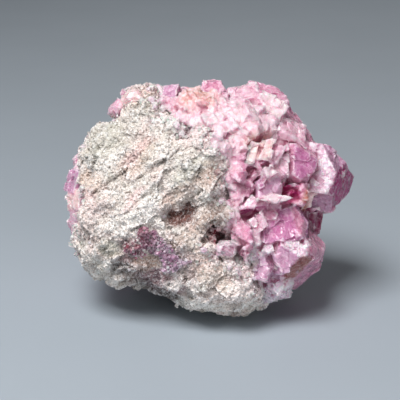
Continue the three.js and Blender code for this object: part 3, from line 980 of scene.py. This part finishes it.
def rhombs(name, variants):
    """A shelf of calcite rhombs of unit width: cubes stood on a corner and pressed or drawn along
    it, each by a height and a lift out of the ground."""
    shelf = bpy.data.collections.new(name)
    for i, (height, lift) in enumerate(variants):
        bpy.ops.object.select_all(action="DESELECT")
        corner_up = (math.radians(45), math.atan(math.sqrt(0.5)), 0)
        bpy.ops.mesh.primitive_cube_add(size=0.62, rotation=corner_up)
        obj = bpy.context.object
        obj.name = f"{name} {i}"
        bpy.ops.object.transform_apply(location=True, rotation=True, scale=True)
        obj.data.transform(Matrix.Translation((0, 0, lift)) @ Matrix.Diagonal((1, 1, height, 1)))
        for holder in list(obj.users_collection):
            holder.objects.unlink(obj)
        shelf.objects.link(obj)
    return shelf


def scattered(name, ground, shelf, apart, sizes, cover, tilt, seed):
    """A piece made of small shapes set over a surface: about `apart` from each other, their widths
    between `sizes`, in metres, and dense where the ground's attribute `cover` is 1. Each keeps the
    ground's colour where it stands, and a random `shade` of its own."""
    tree = new_recipe(name)
    surface = node(tree, "GeometryNodeObjectInfo", {"Object": ground}).outputs["Geometry"]
    density = node(tree, "GeometryNodeInputNamedAttribute", {"Name": cover}, data_type="FLOAT")
    points = node(
        tree, "GeometryNodeDistributePointsOnFaces",
        {"Mesh": surface, "Distance Min": apart, "Density Max": 1.6 / apart**2,
         "Density Factor": density.outputs["Attribute"], "Seed": seed},
        distribute_method="POISSON",
    )
    shapes = node(
        tree, "GeometryNodeCollectionInfo",
        {"Collection": shelf, "Separate Children": True, "Reset Children": True},
    )
    chance = node(tree, "FunctionNodeRandomValue", {"Seed": seed + 1}, data_type="FLOAT").outputs[1]
    skewed = node(tree, "ShaderNodeMath", {0: chance, 1: 1.7}, operation="POWER").outputs[0]
    width = node(
        tree, "ShaderNodeMapRange", {"Value": skewed, "To Min": sizes[0], "To Max": sizes[1]},
    )
    turn = node(
        tree, "FunctionNodeRandomValue",
        {0: (-tilt, -tilt, -math.pi), 1: (tilt, tilt, math.pi), "Seed": seed + 2},
        data_type="FLOAT_VECTOR",
    ).outputs[0]
    stood = node(
        tree, "FunctionNodeRotateRotation",
        {"Rotation": points.outputs["Rotation"], "Rotate By": turn}, rotation_space="LOCAL",
    )
    copies = node(
        tree, "GeometryNodeInstanceOnPoints",
        {"Points": points.outputs["Points"], "Instance": shapes.outputs[0], "Pick Instance": True,
         "Rotation": stood.outputs[0], "Scale": width.outputs[0]},
    )
    shade = node(tree, "FunctionNodeRandomValue", {"Seed": seed + 3}, data_type="FLOAT").outputs[1]
    kept = node(
        tree, "GeometryNodeStoreNamedAttribute",
        {"Geometry": copies.outputs[0], "Name": "shade", "Value": shade},
        data_type="FLOAT", domain="INSTANCE",
    )
    whole = node(tree, "GeometryNodeRealizeInstances", {"Geometry": kept.outputs[0]})
    node(tree, "NodeGroupOutput", {0: whole.outputs[0]})
    obj = bpy.data.objects.new(name, bpy.data.meshes.new(name))
    bpy.context.scene.collection.objects.link(obj)
    finish_with(obj, "NODES", node_group=tree)
    return obj


def shade_each(obj, lighter, darker):
    """Turns some of a scattering's small shapes lighter and some darker, and lays it on the
    ground."""
    shade = read(obj.data.attributes["shade"].data, "value", 1)
    tint = read(obj.data.attributes["tint"].data, "color", 4)[:, :3]
    up, down = lighter * smooth_step(0.55, 1.0, shade), darker * smooth_step(0.35, 0.0, shade)
    store_tint(obj, tint * (1 - up) * (1 - down) + up)
    store(obj, "relief", np.zeros(len(shade)))
    stand_on_ground(obj)


# ---------------------------------------------------------------------------------------------
# Large crystals
# ---------------------------------------------------------------------------------------------


def looking(right, up):
    """The way a face looks, in the show frame, when it is turned to the right and up."""
    right, up = math.radians(right), math.radians(up)
    return Vector((math.sin(right) * math.cos(up), math.sin(up), math.cos(right) * math.cos(up)))


def stood(facing, turn):
    """How a block stands in the show frame, slanted as calcite cleaves."""
    right, up = facing
    slant = Matrix.Identity(4)
    slant[0][1] = math.tan(CLEAVAGE_SLANT)
    return (
        Matrix.Rotation(math.radians(right), 4, "Y")
        @ Matrix.Rotation(math.radians(-up), 4, "X")
        @ Matrix.Rotation(math.radians(turn), 4, "Z")
        @ slant
    )


def crystal_block(settings, name, at, size, facing, colour, turn=0, cuts=(), sides=None):
    """One block of calcite with its cut faces sliced off and each side's colour and frost kept on
    its faces."""
    stand = stood(facing, turn)
    bpy.ops.object.select_all(action="DESELECT")
    bpy.ops.mesh.primitive_cube_add(size=1)
    block = bpy.context.object
    block.name = name
    block.data.transform(stand @ Matrix.Diagonal((*size, 1)))
    bpy.ops.object.mode_set(mode="EDIT")
    for cut in cuts:
        face = looking(*cut[:2])
        bpy.ops.mesh.select_all(action="SELECT")
        bpy.ops.mesh.bisect(plane_co=face * cut[2], plane_no=face, use_fill=True, clear_outer=True)
    bpy.ops.object.mode_set(mode="OBJECT")
    turned = stand.to_3x3().inverted().transposed()
    ways = {side: (turned @ Vector(way)).normalized() for side, way in SIDES.items()}
    ways.update({f"cut {i}": looking(*cut[:2]) for i, cut in enumerate(cuts)})
    paints = []
    for face in block.data.polygons:
        side = max(ways, key=lambda way: ways[way].dot(face.normal))
        paints.append((sides or {}).get(side, colour))
    tints = [(*getattr(settings, paint), 1) for paint in paints]
    store(block, "tint", tints, "FLOAT_COLOR", "FACE")
    frosts = [FROSTED.get(paint, LITTLE_FROSTED) for paint in paints]
    store(block, "frost", frosts, "FLOAT", "FACE")
    block.data.transform(SHOW_FRAME @ Matrix.Translation(at))
    return block


def stepped(crystal, steps, chance):
    """Smaller blocks nearly in line with a large one, standing a little out of its faces, as
    calcite grows in steps."""
    middle, size = Vector(crystal["at"]), crystal["size"]
    stand = stood(crystal["facing"], crystal.get("turn", 0))
    blocks = []
    for _ in range(200):  # tries enough to find room for all
        if len(blocks) == steps:
            break
        part = [side * chance.uniform(0.22, 0.5) for side in size]
        place = [chance.uniform(-0.45, 0.45) * side for side in size]
        axis, way = chance.choice([(2, 1), (2, 1), (2, 1), (0, 1), (0, -1), (1, 1), (1, -1)])
        place[axis] = way * (size[axis] / 2 - part[axis] / 2 + chance.uniform(0.05, 0.3))
        off = stand @ Vector(place)
        reach = min(part) * 0.6
        if any(off.dot(looking(*cut[:2])) + reach > cut[2] for cut in crystal.get("cuts", ())):
            continue
        facing = [angle + chance.uniform(-5, 5) for angle in crystal["facing"]]
        blocks.append({
            **crystal, "name": "step", "at": middle + off, "size": part, "facing": facing,
            "turn": crystal.get("turn", 0) + chance.uniform(-6, 6), "cuts": (),
        })
    return blocks


# ---------------------------------------------------------------------------------------------
# The pieces
# ---------------------------------------------------------------------------------------------


class SPECIMEN_OT_matrix(bpy.types.Operator):
    """Breaks the matrix rock's surface into ledges, pits and sugary grains"""

    bl_idname = "specimen.matrix"
    bl_label = "Matrix Rock"

    def execute(self, context):
        settings = context.scene.specimen_rock
        crust = ray_tree(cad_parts["calcite_crust"])
        rock = merged_copy("matrix", "matrix_rock")
        remesh(rock, 0.6)
        finish_with(rock, "SMOOTH", factor=0.5, iterations=10)
        bend(rock, 3.6, 1.3)
        remesh(rock, 0.24)
        hollow_out(rock)
        notch(rock)
        roughen(rock, 3.0, 1.0)
        large = ray_tree(bpy.data.objects["large_crystals"])
        move_to(rock, sink_under(places(rock), large, 2.5, 0.5))
        chip(rock, 3.6, 0.26, 0.21, stretch=2.4)
        chip(rock, 1.4, 0.22, 0.1, stretch=1.6)
        chip(rock, 0.7, 0.32, 0.08)
        stand_on_ground(rock)
        thin_hidden(rock, covered(places(rock), crust, COVER), 0.5)
        store_relief(rock, 10)
        colour = mottled(rock, settings.cream, settings.grey_green, 3.0, 0.45, 5.0)
        colour = mottled(rock, colour, settings.blush, 3.6, 0.4, 23.0)
        colour = mottled(rock, colour, settings.white, 2.2, 0.4, 61.0)
        points = places(rock)
        near = nearness(points, crust, 4.5)
        colour = blended(colour, context.scene.specimen_calcite.sugar, 0.7 * near)
        store_tint(rock, patchwork(rock, settings, colour, ROCK_STAINS))
        open_air = 1 - covered(points, crust, COVER)
        open_air = open_air * (1 - smooth_step(0.0, 0.3, nearness(points, large, 0.8)))
        patchy = smooth_step(-0.15, 0.3, noise_at(shown(points), 2.4, 7.0))
        open_air = open_air * (hollow_depth(shown(points)) < 0.4)
        store(rock, "grainy", open_air * (points[:, 2] > 0.8 * MM) * patchy)
        open_air = open_air * (points[:, 2] > 1.5 * MM) * well_inside(points, MARGIN)
        store(rock, "crusty", near**0.5 * open_air)
        ragged = nearness(points, crust, 3.0) + 0.5 * noise_at(shown(points), 2.6, 19.0)
        store(rock, "rimmed", smooth_step(0.25, 0.45, ragged) * open_air)
        rock.data.materials.append(sugary_rock())
        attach(rock, "root")
        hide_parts("matrix")
        return {"FINISHED"}


class SPECIMEN_OT_matrix_grains(bpy.types.Operator):
    """Sets loose-edged sugary grains over the matrix rock"""

    bl_idname = "specimen.matrix_grains"
    bl_label = "Matrix Grains"

    def execute(self, context):
        grain = context.scene.specimen_rock.grain
        rock = bpy.data.objects["matrix_rock"]
        shelf = rhombs("grain shapes", [(1.0, 0.0), (1.5, 0.05), (0.75, 0.1)])
        sizes = (0.5 * grain, 1.3 * grain)
        grains = scattered("matrix_grains", rock, shelf, 1.1 * grain, sizes, "grainy", 1.2, 31)
        shade_each(grains, 0.45, 0.25)
        grains.data.materials.clear()
        grains.data.materials.append(rock.data.materials[0])
        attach(grains, "root")
        return {"FINISHED"}


class SPECIMEN_OT_large_crystals(bpy.types.Operator):
    """Cleaves the large crystals that stand out of the crust"""

    bl_idname = "specimen.large_crystals"
    bl_label = "Large Crystals"

    def execute(self, context):
        settings = context.scene.specimen_calcite
        chance = random.Random(5)
        blocks = []
        for crystal in LARGE_CRYSTALS:
            shape = {key: value for key, value in crystal.items() if key != "steps"}
            blocks.append(crystal_block(settings, **shape))
            for step in stepped(shape, crystal["steps"], chance):
                blocks.append(crystal_block(settings, **step))
        bpy.ops.object.select_all(action="DESELECT")
        for block in blocks:
            block.select_set(True)
        context.view_layer.objects.active = blocks[0]
        bpy.ops.object.join()
        large = blocks[0]
        large.name = large.data.name = "large_crystals"
        faces = ray_tree(large)
        tints = read(large.data.attributes["tint"].data, "color", 4)
        frosts = read(large.data.attributes["frost"].data, "value", 1)
        for name in ("tint", "frost"):
            large.data.attributes.remove(large.data.attributes[name])
        remesh(large, 0.25)
        found = [faces.find_nearest(Vector(p)) for p in places(large)]
        move_to(large, np.array([hit[0] for hit in found]))
        finish_with(large, "SMOOTH", factor=0.5, iterations=3)
        nearest = np.array([hit[2] for hit in found])
        store(large, "frost", neighbours_mean(large, frosts[nearest], 4))
        store_tint(large, neighbours_mean(large, tints[nearest, :3], 2))
        chip(large, 3.0, 0.14, 0.04)
        chip(large, 1.1, 0.3, 0.15, weight="frost")
        chip(large, 0.9, 0.06, 0.03)
        stand_on_ground(large)
        thin_hidden(large, covered(places(large), ray_tree(large), 30 * MM), 0.36)
        store_relief(large, 8)
        large.data.materials.append(calcite_material("Cobaltoan calcite, cleaved", 0.16, 1.5, 0.22))
        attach(large, "root")
        return {"FINISHED"}


def etch(crust, own, large):
    """Wears the solid crust's faces down to chipped, sugary ones and sinks it under the large
    crystals. Gives 1 at each vertex that faces the open air, and 0 inside."""
    remesh(crust, 0.35)
    points = places(crust)
    outer = 1 - covered(points, own, COVER)
    front = smooth_step(-8, -3, shown(points)[:, 2]) * outer
    finish_with(
        crust, "SMOOTH", factor=0.5, iterations=40, vertex_group=weigh(crust, "sugar", front),
    )
    hollow_out(crust)
    notch(crust)
    move_to(crust, sink_under(places(crust), large, 6, 0.3))
    points, normals = places(crust), read(crust.data.vertices, "normal")
    near = smooth_step(0.1, 0.8, nearness(points, large, 0.9))
    move_to(crust, points - normals * 0.3 * MM * near[:, None])
    store(crust, "sugary", front * (1 - near))
    store(crust, "bare", outer * (1 - near) * (0.35 + 0.65 * front))
    chip(crust, 4.2, 0.36, 0.3, weight="sugary")
    chip(crust, 1.7, 0.24, 0.1, weight="bare")
    return outer


def smaller_crystals(crust, rock, outer, large, wide):
    """Rhombs about `wide` across, over the crust's open side, bigger ones mostly on its right, and
    some over its edge on to the rock."""
    points = places(crust)
    at = shown(points)
    open_air = outer * (points[:, 2] > 1.5 * MM) * well_inside(points, MARGIN)
    clear = 1 - smooth_step(0.0, 0.4, nearness(points, large, 2.2))
    wide_clear = 1 - smooth_step(0.0, 0.4, nearness(points, large, 4.6))
    clear = clear * (hollow_depth(at) < 0.6)
    sugar = open_air * clear * smooth_step(-14, -2, at[:, 2])
    right = smooth_step(2, 14, at[:, 0] + 0.4 * at[:, 1])
    store(crust, "grainy", sugar * (1 - 0.75 * right))
    store(crust, "coarse", sugar * wide_clear * (0.25 + 0.75 * right) * (at[:, 1] < 18))
    shelf = rhombs("crystal shapes", [(1.0, 0.02), (1.4, 0.05), (0.8, 0.0)])
    kinds = [
        ("small crystals", crust, 0.75, (0.55, 1.3), "grainy", 0.9, 53),
        ("medium crystals", crust, 1.7, (1.5, 3.2), "coarse", 1.0, 57),
        ("edge crystals", rock, 0.8, (0.7, 1.6), "rimmed", 0.9, 61),
    ]
    return [
        scattered(
            name, ground, shelf, apart * wide, (low * wide, high * wide), cover, tilt, seed,
        )
        for name, ground, apart, (low, high), cover, tilt, seed in kinds
    ]


def wear_crest(crust):
    """Presses the crust's highest crests down."""
    points = places(crust)
    at = shown(points)
    crest = CREST + 1.6 * noise_at(at * (1, 0, 0), 3.2, 4.0)
    over = np.maximum(at[:, 1] - crest, 0)[:, None]
    move_to(crust, points - 0.75 * over * np.array(SHOW_UP) * MM)


class SPECIMEN_OT_crust(bpy.types.Operator):
    """Grows the calcite crust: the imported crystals, etched, with smaller ones grown into it"""

    bl_idname = "specimen.crust"
    bl_label = "Calcite Crust"

    def execute(self, context):
        settings = context.scene.specimen_calcite
        own = ray_tree(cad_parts["calcite_crust"])
        large = ray_tree(bpy.data.objects["large_crystals"])
        rock = bpy.data.objects["matrix_rock"]
        crust = merged_copy("calcite_crust", "calcite_crust_body")
        outer = etch(crust, own, large)
        smaller = smaller_crystals(crust, rock, outer, large, settings.crystal)
        pick(crust)
        for grown in smaller:
            grown.select_set(True)
        bpy.ops.object.join()
        remesh(crust, 0.28)
        finish_with(crust, "SMOOTH", factor=0.35, iterations=1)
        wear_crest(crust)
        chip(crust, 0.8, 0.14, 0.05)
        stand_on_ground(crust)
        points = places(crust)
        hidden = np.maximum(covered(points, own, COVER), covered(points, large, 4 * MM))
        back = shown(points)[:, 2] < -6
        thin_hidden(crust, np.maximum(hidden, 0.5 * back), 0.38)
        store_relief(crust, 8)
        points = places(crust)
        colour = mottled(crust, settings.pink, settings.sugar, 3.4, 0.5, 9.0)
        colour = mottled(crust, colour, settings.magenta, 4.2, 0.35, 37.0)
        rim = nearness(points, ray_tree(rock), 3.0) * 0.75
        colour = blended(colour, settings.sugar, rim)
        store_tint(crust, patchwork(crust, settings, colour, CRUST_TINTS))
        at = shown(points)
        upper_front = smooth_step(8, 16, at[:, 1]) * smooth_step(0, 6, at[:, 2])
        store(crust, "frost", 0.15 + 0.3 * upper_front)
        crust.data.materials.clear()
        crust.data.materials.append(calcite_material("Cobaltoan calcite, etched", 0.32))
        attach(crust, "root")
        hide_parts("calcite_crust")
        return {"FINISHED"}


class SPECIMEN_OT_contact_sugar(bpy.types.Operator):
    """Spreads fine calcite sugar from the crust a little way on to the rock"""

    bl_idname = "specimen.contact_sugar"
    bl_label = "Contact Sugar"

    def execute(self, context):
        wide = context.scene.specimen_calcite.crystal
        shelf = rhombs("sugar shapes", [(1.0, 0.12), (1.35, 0.15), (0.8, 0.1)])
        rock = bpy.data.objects["matrix_rock"]
        sizes = (0.3 * wide, 1.0 * wide)
        sugar = scattered("contact_sugar", rock, shelf, 0.5 * wide, sizes, "crusty", 0.9, 71)
        shade_each(sugar, 0.4, 0.15)
        store(sugar, "frost", np.full(len(sugar.data.vertices), 0.3))
        sugar.data.materials.clear()
        sugar.data.materials.append(calcite_material("Cobaltoan calcite, etched"))
        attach(sugar, "root")
        return {"FINISHED"}


class SPECIMEN_OT_druse(bpy.types.Operator):
    """Grows the fine violet druse in the hollow"""

    bl_idname = "specimen.druse"
    bl_label = "Hollow Druse"

    def execute(self, context):
        settings = context.scene.specimen_calcite
        druse = merged_copy("hollow_druse", "hollow_druse_body")
        remesh(druse, 0.16)
        chip(druse, 1.0, 0.4, 0.15)
        store_relief(druse, 6)
        at = shown(places(druse))
        deep = (np.array(settings.maroon) + np.array(settings.salmon)) / 2
        pale = 0.95 * np.array(settings.lilac)
        colour = blended(deep, pale, smooth_step(-16, -8, at[:, 0]))
        store_tint(druse, mottled(druse, colour, settings.magenta, 1.8, 0.3, 13.0))
        store(druse, "frost", np.full(len(at), 0.12))
        store(druse, "grainy", np.ones(len(at)))
        druse.data.materials.append(calcite_material("Cobaltoan calcite, druse", 0.28))
        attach(druse, "root")
        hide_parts("hollow_druse")
        shelf = rhombs("druse shapes", [(1.0, 0.15), (1.5, 0.2)])
        sizes = (0.4 * MM, 0.95 * MM)
        fine = scattered("druse_crystals", druse, shelf, 0.45 * MM, sizes, "grainy", 0.9, 83)
        shade_each(fine, 0.4, 0.5)
        fine.data.materials.clear()
        fine.data.materials.append(druse.data.materials[0])
        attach(fine, "root")
        return {"FINISHED"}


# ---------------------------------------------------------------------------------------------
# The stage
# ---------------------------------------------------------------------------------------------

CAMERA_AWAY = 289 * MM
CAMERA_LENS = 120
FLOOR_SIZE = 6  # metres
AIM = (-2.17, -0.43)  # where the camera points, right and up of the rock's middle

LIGHT_TINT = (1.0, 0.97, 0.965)  # a little warm

# Lights: name, place in metres, size in metres, power in watts.
LIGHTS = [
    ("key", (-0.15, -0.24, 0.48), 0.26, 3.85),
    ("fill", (0.16, -0.52, 0.08), 0.34, 1.05),
    ("back", (0.1, 0.42, 0.26), 0.4, 0.2),
]


def painted_board():
    """Board rolled with matt blue-grey paint, which the eye sees as even, with no shine."""
    material, tree, shader, at = new_material("Painted studio board, matt")
    speck = node(
        tree, "ShaderNodeTexNoise", {"Vector": at, "Scale": 1 / (40 * MM), "Detail": 2.0},
    )
    colour = mixed(tree, opaque("9ca7b0"), opaque("a1acb5"), speck.outputs["Fac"])
    plug(tree, shader, {"Base Color": colour, "Roughness": 0.7})
    return material


class SPECIMEN_OT_stage(bpy.types.Operator):
    """Sets the floor, the soft studio lights and the camera"""

    bl_idname = "specimen.stage"
    bl_label = "Stage"

    def execute(self, context):
        bpy.ops.object.select_all(action="DESELECT")
        bpy.ops.mesh.primitive_plane_add(size=FLOOR_SIZE, location=(0, 0, -0.1 * MM))
        floor = context.object
        floor.name = "floor"
        floor.data.materials.append(painted_board())

        target = MIDDLE + (SHOW_RIGHT * AIM[0] + SHOW_UP * AIM[1]) * MM
        camera = bpy.data.objects.new("camera", bpy.data.cameras.new("camera"))
        camera.data.lens = CAMERA_LENS
        camera.location = target + SHOW_OUT * CAMERA_AWAY
        camera.rotation_euler = (-SHOW_OUT).to_track_quat("-Z", "Y").to_euler()
        context.scene.collection.objects.link(camera)
        context.scene.camera = camera

        for name, place, size, power in LIGHTS:
            lamp = bpy.data.lights.new(name, "AREA")
            lamp.size = size
            lamp.energy = power
            lamp.color = LIGHT_TINT
            light = bpy.data.objects.new(name, lamp)
            light.location = place
            light.rotation_euler = (MIDDLE - Vector(place)).to_track_quat("-Z", "Y").to_euler()
            context.scene.collection.objects.link(light)

        world = bpy.data.worlds.new("studio")
        world.use_nodes = True
        plug(world.node_tree, world.node_tree.nodes["Background"], {0: (1, 1, 1, 1), 1: 0.07})
        context.scene.world = world
        context.scene.view_settings.view_transform = "Standard"
        return {"FINISHED"}


OPERATORS = [
    SPECIMEN_OT_large_crystals,
    SPECIMEN_OT_matrix,
    SPECIMEN_OT_matrix_grains,
    SPECIMEN_OT_crust,
    SPECIMEN_OT_contact_sugar,
    SPECIMEN_OT_druse,
    SPECIMEN_OT_stage,
]


class SPECIMEN_PT_panel(bpy.types.Panel):
    """Lists the specimen's pieces, sizes and colours"""

    bl_idname = "SPECIMEN_PT_panel"
    bl_label = "Calcite Specimen"
    bl_space_type = "VIEW_3D"
    bl_region_type = "UI"
    bl_category = "Specimen"

    def draw(self, context):
        for operator in OPERATORS:
            self.layout.operator(operator.bl_idname)
        for settings in (context.scene.specimen_rock, context.scene.specimen_calcite):
            for name in settings.__annotations__:
                self.layout.prop(settings, name)


CLASSES = [RockSettings, CalciteSettings, *OPERATORS, SPECIMEN_PT_panel]


def register():
    for kind in CLASSES:
        bpy.utils.register_class(kind)
    bpy.types.Scene.specimen_rock = PointerProperty(type=RockSettings)
    bpy.types.Scene.specimen_calcite = PointerProperty(type=CalciteSettings)


def unregister():
    del bpy.types.Scene.specimen_calcite
    del bpy.types.Scene.specimen_rock
    for kind in reversed(CLASSES):
        bpy.utils.unregister_class(kind)


def main():
    register()
    bpy.ops.specimen.large_crystals()
    bpy.ops.specimen.matrix()
    bpy.ops.specimen.matrix_grains()
    bpy.ops.specimen.crust()
    bpy.ops.specimen.contact_sugar()
    bpy.ops.specimen.druse()
    bpy.ops.specimen.stage()


if __name__ == "__main__":
    main()
